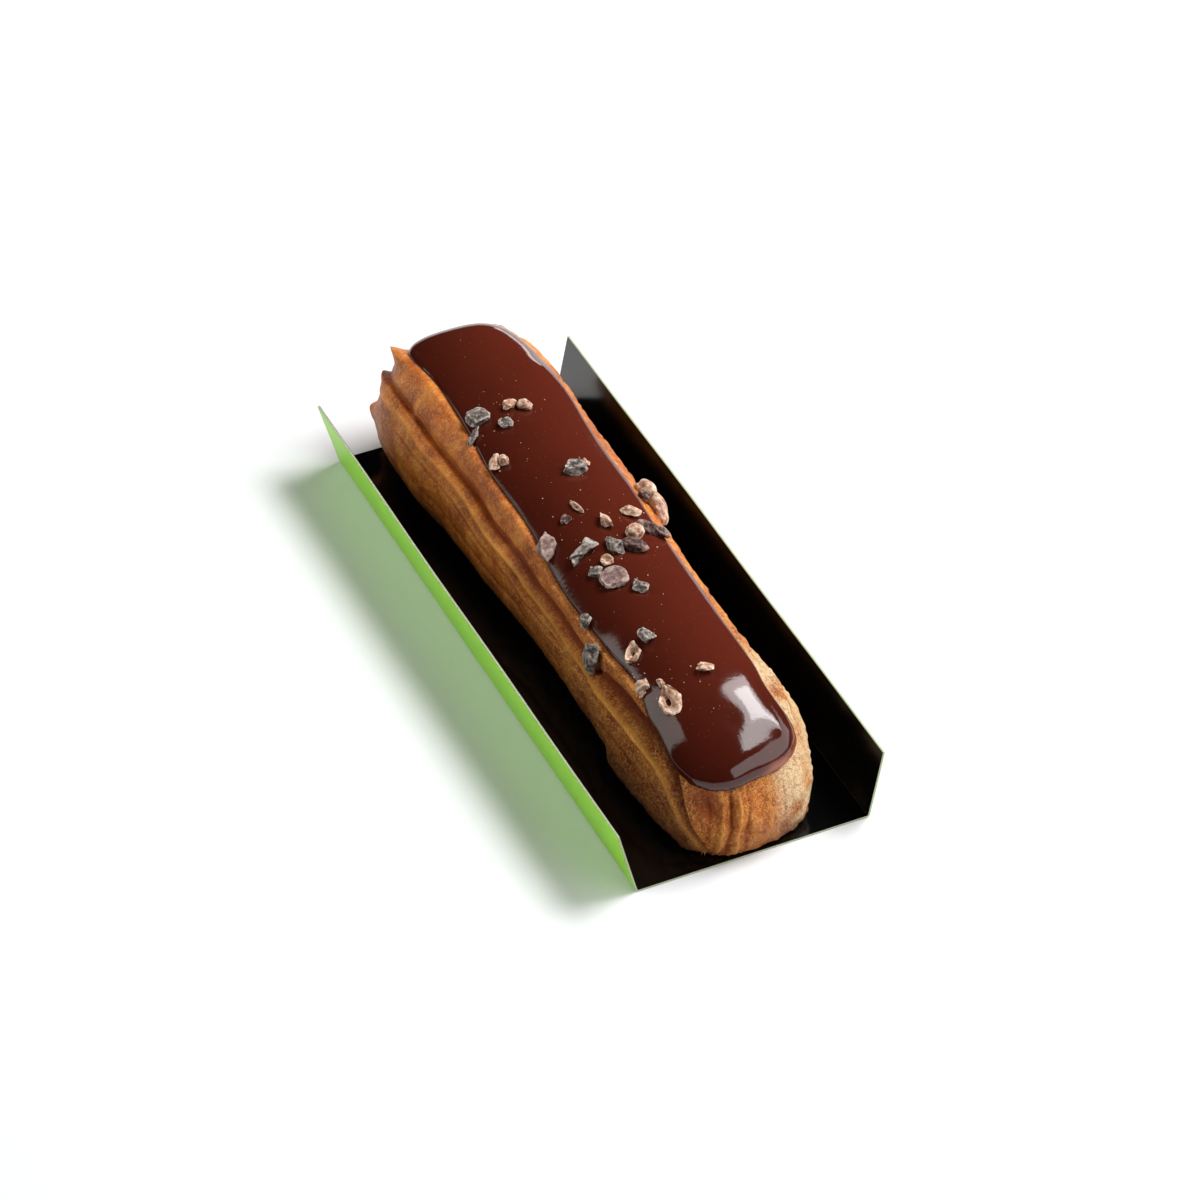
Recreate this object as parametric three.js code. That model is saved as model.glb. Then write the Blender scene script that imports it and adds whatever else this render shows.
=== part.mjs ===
// A chocolate eclair lying in its folded card, in millimetres.
// The card stands on z = 0 with its base centred on the origin. Y runs along the eclair, Z is up.
// Three solids: the folded card, the baked choux and the chocolate icing on top of it.

import * as THREE from "three";

// The card: a flat base with two side walls folded up, open at both ends.
const CARD_LENGTH = 140;
const CARD_WIDTH = 50;
const CARD_THICKNESS = 0.5;
const WALL_HEIGHT = 16.2;
const LEFT_WALL_LEAN = 4.9;
const RIGHT_WALL_LEAN = 2.6;

// The choux: half widths and crown heights are given at even steps from the front end to the back end.
const CHOUX_FRONT = -70.2;
const CHOUX_BACK = 74.4;
const LEFT_HALF_WIDTHS = [15, 15.9, 16.3, 15.8, 17.2, 18.3, 20.1, 18.6];
const RIGHT_HALF_WIDTHS = [17, 17.2, 16.4, 17.1, 18, 18.6, 19.4, 17];
const CROWN_HEIGHTS = [25.2, 26, 26.2, 26.2, 26.4, 26.6, 27.2, 27.6];
const CENTRE_X = 0.4;
const WIDEST_HEIGHT = 11;
const UNDERSIDE_DEPTH = 12.5;
const SECTION_POWER = 2.5;

// How the ends round off: where the rounding starts, and how blunt it is on the sides and over the crown.
const FRONT_ROUND_START = -44;
const FRONT_LEFT_POWER = 3;
const FRONT_RIGHT_POWER = 3.6;
const FRONT_CROWN_POWER = 1.9;
const FRONT_SHIFT_X = 1;
const FRONT_SKEW = 0.14;
const FRONT_NOSE_HEIGHT = 6;
const BACK_ROUND_START = 54;
const BACK_SIDE_POWER = 4.5;
const BACK_CROWN_POWER = 4;

// Piping marks: a deep groove along each side, and the pointed ends of the piped ridges at the back.
const GROOVE_ANGLES = [150, 24];
const GROOVE_DEPTH = 2.2;
const GROOVE_SPREAD = 7;
const SPIKE_ANGLES = [127.5, 157.5, 187.5, 352.5, 22.5, 45];
const SPIKE_LENGTH = 1.8;
const SPIKE_SPREAD = 11;
const SPIKE_Y = 68.6;
const SPIKE_REACH = 4;

// The icing: where it starts and ends, and how far down each side it runs, in degrees round the section.
const ICING_FRONT = -66.4;
const ICING_BACK = 73.3;
const ICING_LEFT_ANGLES = [156, 138, 133, 135, 126, 125.5, 119, 128];
const ICING_RIGHT_ANGLES = [38, 56, 51, 51, 49, 49, 49, 55];
const ICING_THICKNESS = 2;
const ICING_LIP = 0.9;
const ICING_CORNER_POWER = 5;
const ICING_END_WIDTH = 0.6;

// Fits and mesh fineness.
const GAP = 0.3;
const CHOUX_UNDERSIDE = CARD_THICKNESS + GAP;
const POINTS_ROUND = 48;
const FRONT_RINGS = 9;
const MIDDLE_RINGS = 20;
const BACK_RINGS = 10;
const ICING_ROWS = 38;
const ICING_COLUMNS = 16;

const radians = THREE.MathUtils.degToRad;
const clamp01 = (value) => THREE.MathUtils.clamp(value, 0, 1);

// A smooth curve through values that stand at even steps along the eclair.
function evenSteps(values) {
  return new THREE.SplineCurve(values.map((value, step) => new THREE.Vector2(step, value)));
}

const leftHalfWidth = evenSteps(LEFT_HALF_WIDTHS);
const rightHalfWidth = evenSteps(RIGHT_HALF_WIDTHS);
const crownHeight = evenSteps(CROWN_HEIGHTS);
const icingLeftAngle = evenSteps(ICING_LEFT_ANGLES);
const icingRightAngle = evenSteps(ICING_RIGHT_ANGLES);

function valueAt(curve, y) {
  return curve.getPoint(clamp01((y - CHOUX_FRONT) / (CHOUX_BACK - CHOUX_FRONT))).y;
}

// 1 along the middle, falling to 0 at the two ends as a superellipse does.
function endRounding(y, frontPower, backPower) {
  const front = clamp01((FRONT_ROUND_START - y) / (FRONT_ROUND_START - CHOUX_FRONT));
  const back = clamp01((y - BACK_ROUND_START) / (CHOUX_BACK - BACK_ROUND_START));
  const power = front > 0 ? frontPower : backPower;
  return Math.pow(1 - Math.pow(Math.max(front, back), power), 1 / power);
}

function degreesApart(a, b) {
  const turn = Math.abs(a - b) % 360;
  return Math.min(turn, 360 - turn);
}

function grooveDepth(degrees) {
  const depthOf = (groove) => Math.exp(-Math.pow(degreesApart(degrees, groove) / GROOVE_SPREAD, 2));
  return GROOVE_DEPTH * Math.max(...GROOVE_ANGLES.map(depthOf));
}

// How far the ridge ends stand out past the back rim.
function spikeLength(y, degrees) {
  const nearRim = clamp01(1 - Math.abs(y - SPIKE_Y) / SPIKE_REACH);
  const pointOf = (spike) => clamp01(1 - degreesApart(degrees, spike) / SPIKE_SPREAD);
  return SPIKE_LENGTH * nearRim * Math.max(...SPIKE_ANGLES.map(pointOf));
}

// A point of the baked surface: y along the eclair, degrees round the section from the right over the top.
function chouxPoint(y, degrees) {
  const across = Math.cos(radians(degrees));
  const up = Math.sin(radians(degrees));
  const reach = Math.pow(
    Math.pow(Math.abs(across), SECTION_POWER) + Math.pow(Math.abs(up), SECTION_POWER),
    -1 / SECTION_POWER
  );
  const leftSide = endRounding(y, FRONT_LEFT_POWER, BACK_SIDE_POWER);
  const rightSide = endRounding(y, FRONT_RIGHT_POWER, BACK_SIDE_POWER);
  const side = THREE.MathUtils.lerp(leftSide, rightSide, THREE.MathUtils.smoothstep(across, -0.3, 0.3));
  const crown = endRounding(y, FRONT_CROWN_POWER, BACK_CROWN_POWER);
  const frontness = clamp01((FRONT_ROUND_START - y) / (FRONT_ROUND_START - CHOUX_FRONT));
  const centreX = CENTRE_X + FRONT_SHIFT_X * frontness;
  const centreZ = THREE.MathUtils.lerp(WIDEST_HEIGHT, FRONT_NOSE_HEIGHT, frontness * frontness);

  const halfWidth = valueAt(across < 0 ? leftHalfWidth : rightHalfWidth, y);
  const halfHeight = up > 0 ? valueAt(crownHeight, y) - centreZ : UNDERSIDE_DEPTH;
  const inwards = 1 - grooveDepth(degrees) / (halfWidth * reach);
  const x = centreX + halfWidth * side * reach * inwards * across;
  const z = centreZ + halfHeight * (up > 0 ? crown : side) * reach * inwards * up;
  const skew = FRONT_SKEW * frontness * (x - centreX);
  return new THREE.Vector3(x, y + skew + spikeLength(y, degrees), Math.max(z, CHOUX_UNDERSIDE));
}

// Joins a list of rings, with a point at each end, into one closed skin.
function closedRings(frontTip, rings, backTip) {
  const count = rings[0].length;
  const points = [frontTip, ...rings.flat(), backTip];
  const last = points.length - 1;
  const indices = [];
  for (let step = 0; step < count; step += 1) {
    const next = (step + 1) % count;
    indices.push(0, 1 + step, 1 + next);
    for (let ring = 0; ring < rings.length - 1; ring += 1) {
      const a = 1 + ring * count;
      const b = a + count;
      indices.push(a + step, b + step, b + next);
      indices.push(a + step, b + next, a + next);
    }
    const lastRing = 1 + (rings.length - 1) * count;
    indices.push(lastRing + step, last, lastRing + next);
  }
  return indexedGeometry(points, indices);
}

// Joins an outer and an inner sheet of the same rows and columns into one closed slab.
function closedSlab(outer, inner) {
  const rows = outer.length;
  const columns = outer[0].length;
  const points = [...outer.flat(), ...inner.flat()];
  const under = rows * columns;
  const indices = [];
  for (let row = 0; row < rows - 1; row += 1) {
    for (let column = 0; column < columns - 1; column += 1) {
      const a = row * columns + column;
      const b = a + columns;
      indices.push(a, b, b + 1, a, b + 1, a + 1);
      indices.push(under + a, under + b + 1, under + b, under + a, under + a + 1, under + b + 1);
    }
  }
  const rim = [];
  for (let column = 0; column < columns - 1; column += 1) {
    rim.push(column);
  }
  for (let row = 0; row < rows - 1; row += 1) {
    rim.push(row * columns + columns - 1);
  }
  for (let column = columns - 1; column > 0; column -= 1) {
    rim.push((rows - 1) * columns + column);
  }
  for (let row = rows - 1; row > 0; row -= 1) {
    rim.push(row * columns);
  }
  rim.forEach((a, place) => {
    const b = rim[(place + 1) % rim.length];
    indices.push(a, b, under + b, a, under + b, under + a);
  });
  return indexedGeometry(points, indices);
}

function indexedGeometry(points, indices) {
  const geometry = new THREE.BufferGeometry();
  geometry.setFromPoints(points);
  geometry.setIndex(indices);
  geometry.computeVertexNormals();
  return geometry;
}

// Ring places: close together where the ends round off, even along the middle.
function ringPlaces() {
  const places = [];
  for (let ring = 1; ring <= FRONT_RINGS; ring += 1) {
    const turn = (ring / FRONT_RINGS) * 90;
    places.push(THREE.MathUtils.lerp(FRONT_ROUND_START, CHOUX_FRONT, Math.cos(radians(turn))));
  }
  for (let ring = 1; ring < MIDDLE_RINGS; ring += 1) {
    places.push(THREE.MathUtils.lerp(FRONT_ROUND_START, BACK_ROUND_START, ring / MIDDLE_RINGS));
  }
  for (let ring = 0; ring < BACK_RINGS; ring += 1) {
    const turn = (ring / BACK_RINGS) * 90;
    places.push(THREE.MathUtils.lerp(BACK_ROUND_START, CHOUX_BACK, Math.sin(radians(turn))));
  }
  return places;
}

function chouxGeometry() {
  const turns = Array.from({ length: POINTS_ROUND }, (_, step) => (step * 360) / POINTS_ROUND);
  const rings = ringPlaces().map((y) => turns.map((turn) => chouxPoint(y, turn)));
  return closedRings(chouxPoint(CHOUX_FRONT, 90), rings, chouxPoint(CHOUX_BACK, 90));
}

// The outward direction of the baked surface, from two short steps along it.
function chouxNormal(y, degrees) {
  const alongStep = 0.2;
  const roundStep = 1;
  const along = chouxPoint(y + alongStep, degrees).sub(chouxPoint(y - alongStep, degrees));
  const round = chouxPoint(y, degrees + roundStep).sub(chouxPoint(y, degrees - roundStep));
  return round.cross(along).negate().normalize();
}

// 1 along the middle of the icing, narrowing round its corners to the width of its two ends.
function icingWidening(along) {
  const loss = 1 - Math.pow(ICING_END_WIDTH, ICING_CORNER_POWER);
  return Math.pow(1 - loss * Math.pow(Math.abs(along), ICING_CORNER_POWER), 1 / ICING_CORNER_POWER);
}

function icingGeometry() {
  const outer = [];
  const inner = [];
  for (let row = 0; row < ICING_ROWS; row += 1) {
    const turn = -90 + (180 * row) / (ICING_ROWS - 1);
    const along = Math.sin(radians(turn));
    const y = THREE.MathUtils.mapLinear(along, -1, 1, ICING_FRONT, ICING_BACK);
    const left = valueAt(icingLeftAngle, y);
    const right = valueAt(icingRightAngle, y);
    const middle = (left + right) / 2;
    const halfSpread = ((left - right) / 2) * icingWidening(along);
    const outerRow = [];
    const innerRow = [];
    for (let column = 0; column < ICING_COLUMNS; column += 1) {
      const across = -Math.cos((Math.PI * column) / (ICING_COLUMNS - 1));
      const degrees = middle + halfSpread * across;
      const normal = chouxNormal(y, degrees);
      const inset = Math.min(1 - Math.abs(across), 1 - Math.abs(along));
      const swell = Math.sqrt(clamp01(inset * 8));
      const thickness = THREE.MathUtils.lerp(ICING_LIP, ICING_THICKNESS, swell);
      const foot = chouxPoint(y, degrees).addScaledVector(normal, GAP);
      innerRow.push(foot);
      outerRow.push(foot.clone().addScaledVector(normal, thickness));
    }
    outer.push(outerRow);
    inner.push(innerRow);
  }
  return closedSlab(outer, inner);
}

// The card's section, followed along its underside and back along its upper face.
function cardGeometry() {
  const half = CARD_WIDTH / 2;
  const leftWall = new THREE.Vector2(-LEFT_WALL_LEAN, WALL_HEIGHT);
  const rightWall = new THREE.Vector2(RIGHT_WALL_LEAN, WALL_HEIGHT);
  const inwards = (wall) => new THREE.Vector2(wall.y, -wall.x).normalize().multiplyScalar(CARD_THICKNESS);
  const leftIn = inwards(leftWall);
  const rightIn = inwards(rightWall).negate();
  const foldIn = (wall, shift) => shift.x + ((CARD_THICKNESS - shift.y) / wall.y) * wall.x;

  const section = new THREE.Shape([
    new THREE.Vector2(-half, 0),
    new THREE.Vector2(half, 0),
    new THREE.Vector2(half, 0).add(rightWall),
    new THREE.Vector2(half, 0).add(rightWall).add(rightIn),
    new THREE.Vector2(half + foldIn(rightWall, rightIn), CARD_THICKNESS),
    new THREE.Vector2(-half + foldIn(leftWall, leftIn), CARD_THICKNESS),
    new THREE.Vector2(-half, 0).add(leftWall).add(leftIn),
    new THREE.Vector2(-half, 0).add(leftWall),
  ]);
  const geometry = new THREE.ExtrudeGeometry(section, { depth: CARD_LENGTH, bevelEnabled: false });
  geometry.rotateX(Math.PI / 2);
  geometry.translate(0, CARD_LENGTH / 2, 0);
  return geometry;
}

function piece(name, geometry, look) {
  const mesh = new THREE.Mesh(geometry, new THREE.MeshStandardMaterial({ metalness: 0, ...look }));
  mesh.name = name;
  return mesh;
}

const eclair = new THREE.Group();
eclair.add(piece("folded_card", cardGeometry(), { color: "#0a0a0a", roughness: 0.3 }));
eclair.add(piece("choux_body", chouxGeometry(), { color: "#b4763c", roughness: 0.65 }));
eclair.add(piece("chocolate_icing", icingGeometry(), { color: "#4a1d14", roughness: 0.15 }));

export default eclair;
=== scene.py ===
import math
from collections import namedtuple

import bmesh
import bpy
import numpy as np
from mathutils import Matrix, Vector
from mathutils.bvhtree import BVHTree


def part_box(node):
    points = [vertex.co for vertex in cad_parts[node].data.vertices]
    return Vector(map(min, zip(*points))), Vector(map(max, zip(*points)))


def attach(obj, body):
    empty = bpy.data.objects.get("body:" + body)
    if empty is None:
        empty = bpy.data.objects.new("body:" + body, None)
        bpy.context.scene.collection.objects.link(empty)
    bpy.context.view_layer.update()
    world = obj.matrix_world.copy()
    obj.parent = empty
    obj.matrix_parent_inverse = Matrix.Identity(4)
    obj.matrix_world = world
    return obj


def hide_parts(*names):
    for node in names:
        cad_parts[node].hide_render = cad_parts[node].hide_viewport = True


# The eclair's sizes are in millimetres and its turns in degrees; MM brings them to the frame's metres.
MM = 0.001
CRUMPLE_CELLS = 32  # how many cells of random heights there are before they repeat

# The choux's plain form, as the CAD has it: half widths and crown heights at even steps, front to back.
CHOUX_FRONT = -70.2
CHOUX_BACK = 74.4
LEFT_HALF_WIDTHS = [15, 15.9, 16.3, 15.8, 17.2, 18.3, 20.1, 18.6]
RIGHT_HALF_WIDTHS = [17, 17.2, 16.4, 17.1, 18, 18.6, 19.4, 17]
CROWN_HEIGHTS = [25.2, 26, 26.2, 26.2, 26.4, 26.6, 27.2, 27.6]
CENTRE_X = 0.4
WIDEST_HEIGHT = 11
UNDERSIDE_DEPTH = 12.5
CRUST_HEIGHT = 26  # over which the baked colours change
SECTION_POWER = 2.5
FRONT_ROUND_START = -44
FRONT_LEFT_POWER = 3
FRONT_RIGHT_POWER = 3.6
FRONT_CROWN_POWER = 1.9
FRONT_SHIFT_X = 1
FRONT_SKEW = 0.14
FRONT_NOSE_HEIGHT = 6
BACK_ROUND_START = 54
BACK_SIDE_POWER = 4.5
BACK_CROWN_POWER = 4

# The piped dough's marks. The ridges run along it and close in on one spot low at the front left.
FOLD_SPOT_X = -9
FOLD_SPOT_Z = 1.5
FOLD_START = -55
FOLD_LENGTH = 15
LEFT_GROOVE = [
    (-68, 154), (-62, 151), (-57, 147), (-51, 146), (-44, 146), (-36, 148), (-27, 149.5), (-15, 150),
    (-6, 151), (5, 146.5), (16, 145.5), (28, 143), (37, 141), (45, 140.5), (53, 140), (60, 142), (74, 146),
]
RIGHT_GROOVE = [(-70, 30), (-50, 26), (-30, 24), (-10, 22), (12, 24), (33, 26), (54, 26), (74, 24)]
GROOVE_WANDER = 1.3  # degrees that a groove strays from its line
RIGHT_GROOVE_EASE = 4  # how far apart its line is smoothed
GROOVE_DEPTH = 1.9
VALLEY_DEPTH = 0.8
# Where a bridge of dough crosses the grooves, its half length, and the share of the groove that it fills.
GROOVE_BRIDGES = [53.6, 8.4, -31]
BRIDGE_LENGTH = 1.6
BRIDGE_RISE = 0.6
# Where along the eclair a change in the dough begins, and over how many mm; below 0 it grows to the front.
NEAR_FRONT = (-24, -14)
GROOVE_DEEPENS = (-30, -14)
RIGHT_GROOVE_ENDS = (-46, -18)
FAR_END = (8, 30)
# The marks beside each groove: degrees of turn below the groove, and half width in degrees.
GROOVE_WIDTH = 2.3
VALLEY = (-1, 6)
UPPER_LOBE = (-13, 8)
LOWER_LOBE = (22, 12)
LOW_SEAM = (38, 3)
LIP_TURN, LIP_WIDTH = 8.5, 2
FLAP_WIDTH = 1.3
UNDER_FLAP_TURN, UNDER_FLAP_WIDTH = 3, 1.5  # below the lip
SEAM_TURN, SEAM_WIDTH = 18, 1.8
SEAM_LIP_TURN, SEAM_LIP_WIDTH = 3.2, 1.6  # above the seam
# A crack in the left groove, and a hollow and a bulge near the front: place along, turn, and half sizes.
CRACK_Y, CRACK_LENGTH = 48, 6
CRACK_TURN, CRACK_WIDTH = -1.4, 0.6  # from the groove
HOLLOW_Y, HOLLOW_LENGTH = -65.5, 3.5
HOLLOW_TURN, HOLLOW_WIDTH = 146, 4.5
BULGE_TURN, BULGE_WIDTH = 214, 16
# Upright creases in the front face: how far across, and how far they stand out or in.
FRONT_CREASES = [
    (-9.2, -0.35), (-7.0, 0.55), (-5.3, -0.7), (-3.6, 0.5), (-1.4, -0.35), (3.0, 0.15), (6.5, -0.2),
]
CREASE_WIDTH = 0.4
CREASE_SLANT = 0.09
CREASE_MIDDLE_Z = 8
# How far each mark stands out in mm.
MARK_HEIGHTS = {
    "crack": 0.25, "lip": 0.5, "upper_lobe": 0.45, "lower_lobe": 0.4, "seam": -0.7, "seam_lip": 0.3,
    "low_seam": -0.5, "lines": 0.08, "folds": 0.3, "rough": 0.16, "lumps": 0.22, "crinkle": 0.14,
    "swells": 0.35, "creases": 1, "foot_lumps": 0.45, "foot_grit": 0.25, "foot_bulge": 1.9,
    "right_crumbs": 0.3, "beside_icing": 0.7, "flap": 0.75, "hollow": -0.9,
}
# How strongly each mark takes the dark of a groove, partly own colour and partly painted shade, the pale of a
# crest, or the brown of painted shade.
GROOVE_TONES = {"seam": 0.6, "low_seam": 0.5, "creases": -0.9, "crack": -1, "flap": -0.8, "hollow": 0.85}
CREST_TONES = {
    "lip": 0.9, "seam_lip": 0.8, "lines": 0.3, "crinkle": 0.4, "creases": 1.2, "crack": 1.2, "flap": 0.8,
    "hollow": -1,
}
# The shade tone is painted shade, most on the upper lobe beside the icing's edge.
SHADE_TONES = {"lines": -0.25, "crinkle": -0.45, "upper_lobe": 0.25}
VALLEY_TONE = 0.3
# The piped ridges end in points at these turns round the far end, on a rim at this place along.
RIDGE_END_TURNS = [84, 130.5, 146.5, 182, 214, 326, 358, 24, 50]
RIDGE_END_RIM = 70.6
RIM_REACH_BEFORE, RIM_REACH_PAST = 6, 2.8
# How far a ridge's end stands out and the hollow beside it lies below that: outward, then to the back.
RIM_RISE, RIM_HOLLOW = 0.9, 1.6
RIM_PUSH, RIM_PULL = 1.2, 2.2
# The right of the near end painted paler, partly a paler bake and partly painted key light: from here across,
# along and up, each over so many mm.
PALE_ACROSS = (3, 6)
PALE_ALONG = (-34, -12)
PALE_UP = (0, 6)
# The mesh's rows along the rounded front, the middle and the rounded back, and its columns round the section
# as (first turn, last turn, columns): close together where the crust shows, wide apart where it is hidden.
FRONT_ROWS, MIDDLE_ROWS, BACK_ROWS = 80, 196, 70
CHOUX_COLUMNS = [(62, 112, 22), (112, 236, 162), (236, 306, 14), (306, 422, 82)]

# The icing's edge round the section, as (place along the eclair, turn) pairs.
ICING_LEFT_EDGE = [
    (-66.5, 122), (-64, 141), (-60, 147), (-55.6, 145.5), (-52.6, 139), (-47.8, 141), (-44.5, 134),
    (-38, 131.5), (-31, 134.5), (-22.8, 135), (-12.3, 137.5), (-4.6, 136), (4, 130), (12, 127.5),
    (27, 127), (37.4, 122.5), (46, 119.5), (57, 120), (66, 125), (73, 128),
]
ICING_RIGHT_EDGE = [
    (-66.5, 62), (-65, 48), (-62, 45), (-58, 51), (-53, 58), (-45, 54), (-36, 52), (-20, 49),
    (0, 51), (14, 48), (28, 50), (40, 47), (52, 48), (60, 50), (67, 52), (73, 54),
]
ICING_FRONT = -66.6
ICING_BACK = 73.3
ICING_BACK_ARC = 1.8  # how far the corners of the far edge lie in front of its middle
# The far end turns steeply down. From here on the icing draws back, so that its edge stays high on that end.
ICING_DRAWS_BACK = 69.0
ICING_DRAW = 0.108
ICING_FAR_END = 71.3  # where its far edge lies after that
# How far from each end the icing's outline begins to round in, and the share of its width left at the end.
ICING_FRONT_ROUND = 2.4
ICING_BACK_ROUND = 7.0
ICING_END_WIDTH = 0.35
ICING_ROWS, ICING_COLUMNS = 300, 110
ICING_THICKNESS = 2.0
# The height of the icing's rolled lip, how far in from its edge it reaches, and how far in the icing is at
# its full height, each as (place along the eclair, value) pairs: the lip is broadest where the icing gathered
# at the front, and thins out at the far end.
ICING_LIP_HEIGHTS = [(45, 1.65), (68, 1.1)]
ICING_LIP_WIDTHS = [(-66, 2.6), (-54, 1.15), (45, 1.15), (68, 1.7)]
ICING_SHOULDERS = [(-66, 4.5), (-10, 7), (73, 6)]
# Where the icing settled thick or thin: place along, turn, half length, half width, and rise or fall.
Swell = namedtuple("Swell", "along turn length width rise")
POUR_SWELLS = [
    Swell(-64, 100, 2.5, 13, 0.7),  # the roll that gathered along the front edge
    Swell(-57, 95, 2.5, 5, -0.3),  # the dip behind that roll
    Swell(-61, 60, 3, 2.5, 0.5),  # a drip held back at the front right
    Swell(-56, 88, 8, 9, 0.3),  # the thick front of the pour
    Swell(-48, 105, 5, 8, -0.45),  # where it ran thin behind its front
    Swell(-26, 122, 4, 6, 0.25),  # a low swell on the left side
    Swell(51, 58, 4, 5, 0.7),  # where it caught on the crust near the far right end
]
POUR_UNEVENNESS = 0.25
MM_PER_DEGREE = 0.35  # across the top of the eclair
ICING_SINK = 0.35
ICING_SKIRT = 0.5
UNDER_ICING = 0.4  # how far the crust lies below its plain form where the icing covers it
UNDER_ICING_SIDE = (3, 6)  # degrees in from the icing's edge where that begins, and over how many
UNDER_ICING_FRONT = (ICING_FRONT + 1.5, 3)
UNDER_ICING_BACK = (ICING_FAR_END + 2.2, -1.5)

# The folded card: its fold is a curve that begins CARD_FOLD before the corner and ends as far past it.
CARD_HALF_BASE = 25
CARD_THICKNESS = 0.5
CARD_FOLD = 0.45
CARD_TOP_INSET = 0.05
WALL_BOW = 0.15  # how far the top of a wall strays from straight
FOLD_POINTS, WALL_POINTS, BASE_POINTS, CARD_ROWS = 7, 13, 16, 71

# The viewpoint: where the camera stands and what it looks at, and its lens.
CAMERA_TURN = -27.4
CAMERA_RISE = 41.37
CAMERA_ROLL = 2.18
CAMERA_DISTANCE = 1005.9
CAMERA_TARGET = (5.32, 8.31, 0)
CAMERA_LENS = 148.95
SENSOR = 36
PICTURE_SIDE = 1200
FOCAL = CAMERA_LENS / SENSOR * PICTURE_SIDE  # the lens's length in the same steps as PICTURE_SIDE

# The studio, in metres: a table top a hair below the card, and what little light the rest of the room gives.
TABLE_SIDE = 8.0
TABLE_GAP = 0.00002
ROOM_LIGHT = 0.01
PANEL_AIM_HEIGHT = 0.01

# Cocoa nibs: where each is seen from the viewpoint (in steps across and down of a view PICTURE_SIDE steps
# wide), its length, width and height in mm, its turn as seen in degrees, its shape and its finish.
Nib = namedtuple("Nib", "across down length width height turn shape finish")
NIBS = [Nib(*values) for values in (
    (478, 417, 4.6, 4.3, 2.4, 70, "slab", "slate"), (475, 436, 4.0, 1.9, 1.4, 60, "leaf", "slate"),
    (509, 405, 3.6, 2.8, 2.4, 20, "chip", "tan"), (524, 405, 3.0, 2.1, 1.9, 160, "bean", "tan"),
    (506, 423, 3.3, 2.9, 1.8, 60, "slab", "slate"), (496, 463, 4.2, 3.4, 2.4, 110, "chip", "tan"),
    (505, 460, 1.9, 1.8, 2.4, 0, "bean", "tan"), (575, 467, 4.6, 3.4, 3.0, 15, "slab", "slate"),
    (584, 463, 2.2, 2.4, 2.5, 40, "chip", "tan"), (649, 487, 4.6, 3.4, 3.2, 150, "bean", "tan"),
    (659, 505, 6.6, 3.2, 3.0, 118, "bean", "tan"), (643, 498, 3.4, 1.9, 2.0, 140, "chip", "dark"),
    (577, 507, 4.2, 1.2, 1.3, 120, "leaf", "tan"), (567, 519, 2.8, 2.0, 1.3, 60, "chip", "dark"),
    (606, 521, 4.6, 2.9, 2.6, 110, "chip", "tan"), (630, 511, 3.8, 2.8, 2.4, 170, "chip", "tan"),
    (650, 529, 5.2, 3.0, 1.9, 170, "shell", "dark"), (661, 533, 3.0, 3.2, 1.8, 70, "shell", "mauve"),
    (634, 532, 3.3, 2.8, 2.8, 25, "bean", "tan"), (633, 545, 5.0, 2.6, 2.2, 160, "bean", "dark"),
    (614, 544, 5.6, 2.8, 2.6, 125, "chip", "slate"), (583, 550, 6.0, 3.2, 2.2, 60, "fork", "slate"),
    (577, 560, 2.8, 1.5, 1.5, 70, "chip", "slate"), (548, 546, 5.8, 3.8, 2.6, 112, "leaf", "mauve"),
    (607, 559, 2.7, 2.4, 2.2, 0, "cup", "tan"), (596, 571, 3.0, 2.5, 2.0, 60, "slab", "slate"),
    (614, 577, 4.9, 5.3, 2.0, 30, "disc", "mauve"), (639, 586, 4.2, 3.2, 2.2, 20, "chip", "slate"),
    (588, 619, 3.6, 3.2, 2.2, 60, "chip", "slate"), (597, 651, 6.0, 4.8, 3.4, 60, "chip", "slate"),
    (648, 636, 3.7, 3.4, 2.8, 140, "chip", "slate"), (634, 650, 4.2, 3.0, 2.8, 70, "cup", "tan"),
    (703, 667, 3.7, 2.4, 2.2, 170, "chip", "tan"), (645, 684, 3.6, 2.6, 2.2, 70, "chip", "tan"),
    (669, 697, 5.6, 4.2, 2.8, 110, "cup", "tan"), (661, 683, 2.2, 1.4, 1.4, 150, "chip", "tan"),
    (643, 692, 2.2, 1.6, 1.4, 20, "chip", "tan"),
)]
NIB_SLOT = "cocoa_nibs"
NIB_SCALE = 1.12
CUP_LEAN = 0.9  # how far the hollow side of a cup-shaped nib leans to the viewpoint
CUP_DEPTH = 1.6  # of its hollow, as a share of the lump's half height
NIB_STANDS = 0.66  # how high a nib's middle stands over the surface, as a share of its half height
NIB_SEEN_LIFT = 0.45  # how far above its foot a nib's middle is seen, as a share of its half height
NIB_EDGE_ANGLE = 26  # degrees between two faces from which their edge is sharp
NIB_SEED, NIB_SEED_STEP, DUST_SEED = 100, 10, 77
NIB_LEVELS, SPECK_LEVELS = 4, 2  # how finely their balls are divided
LINE_SEARCH = 90  # how far before and past the eclair's middle a line of sight is followed
WEAR_AND_SHADE_SMOOTHINGS, WEAR_AND_SHADE_SPREAD = 4, 2.2
NIB_FINISHES = ("tan", "slate", "dark", "mauve")
# How often each shape of nib is split, and how deep the splits go: 1 is its rounded outside.
SPLITS = {
    "slab": (7, 0.6), "chip": (11, 0.46), "bean": (3, 0.82), "shell": (6, 0.58), "disc": (5, 0.84),
    "cup": (9, 0.62), "leaf": (4, 0.7), "fork": (6, 0.6),
}
SPLIT_SPREAD = 0.2

# Specks of nib dust: how many fall by each nib and how far from it, and how many lie loose along the icing,
# from where and over how much of the view, in its steps across and down.
SPECKS_BY_NIB = 3
SPECK_SPREAD = 13
LOOSE_SPECKS = 60
LOOSE_START = (470, 350)
LOOSE_RUN = (275, 400)
LOOSE_SPREAD = (30, 22)
SPECK_SIZES = (0.12, 0.34)
LOOSE_SIZES = (0.08, 0.16)
DUST_WEAR_AND_SHADE = 0.6


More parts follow.
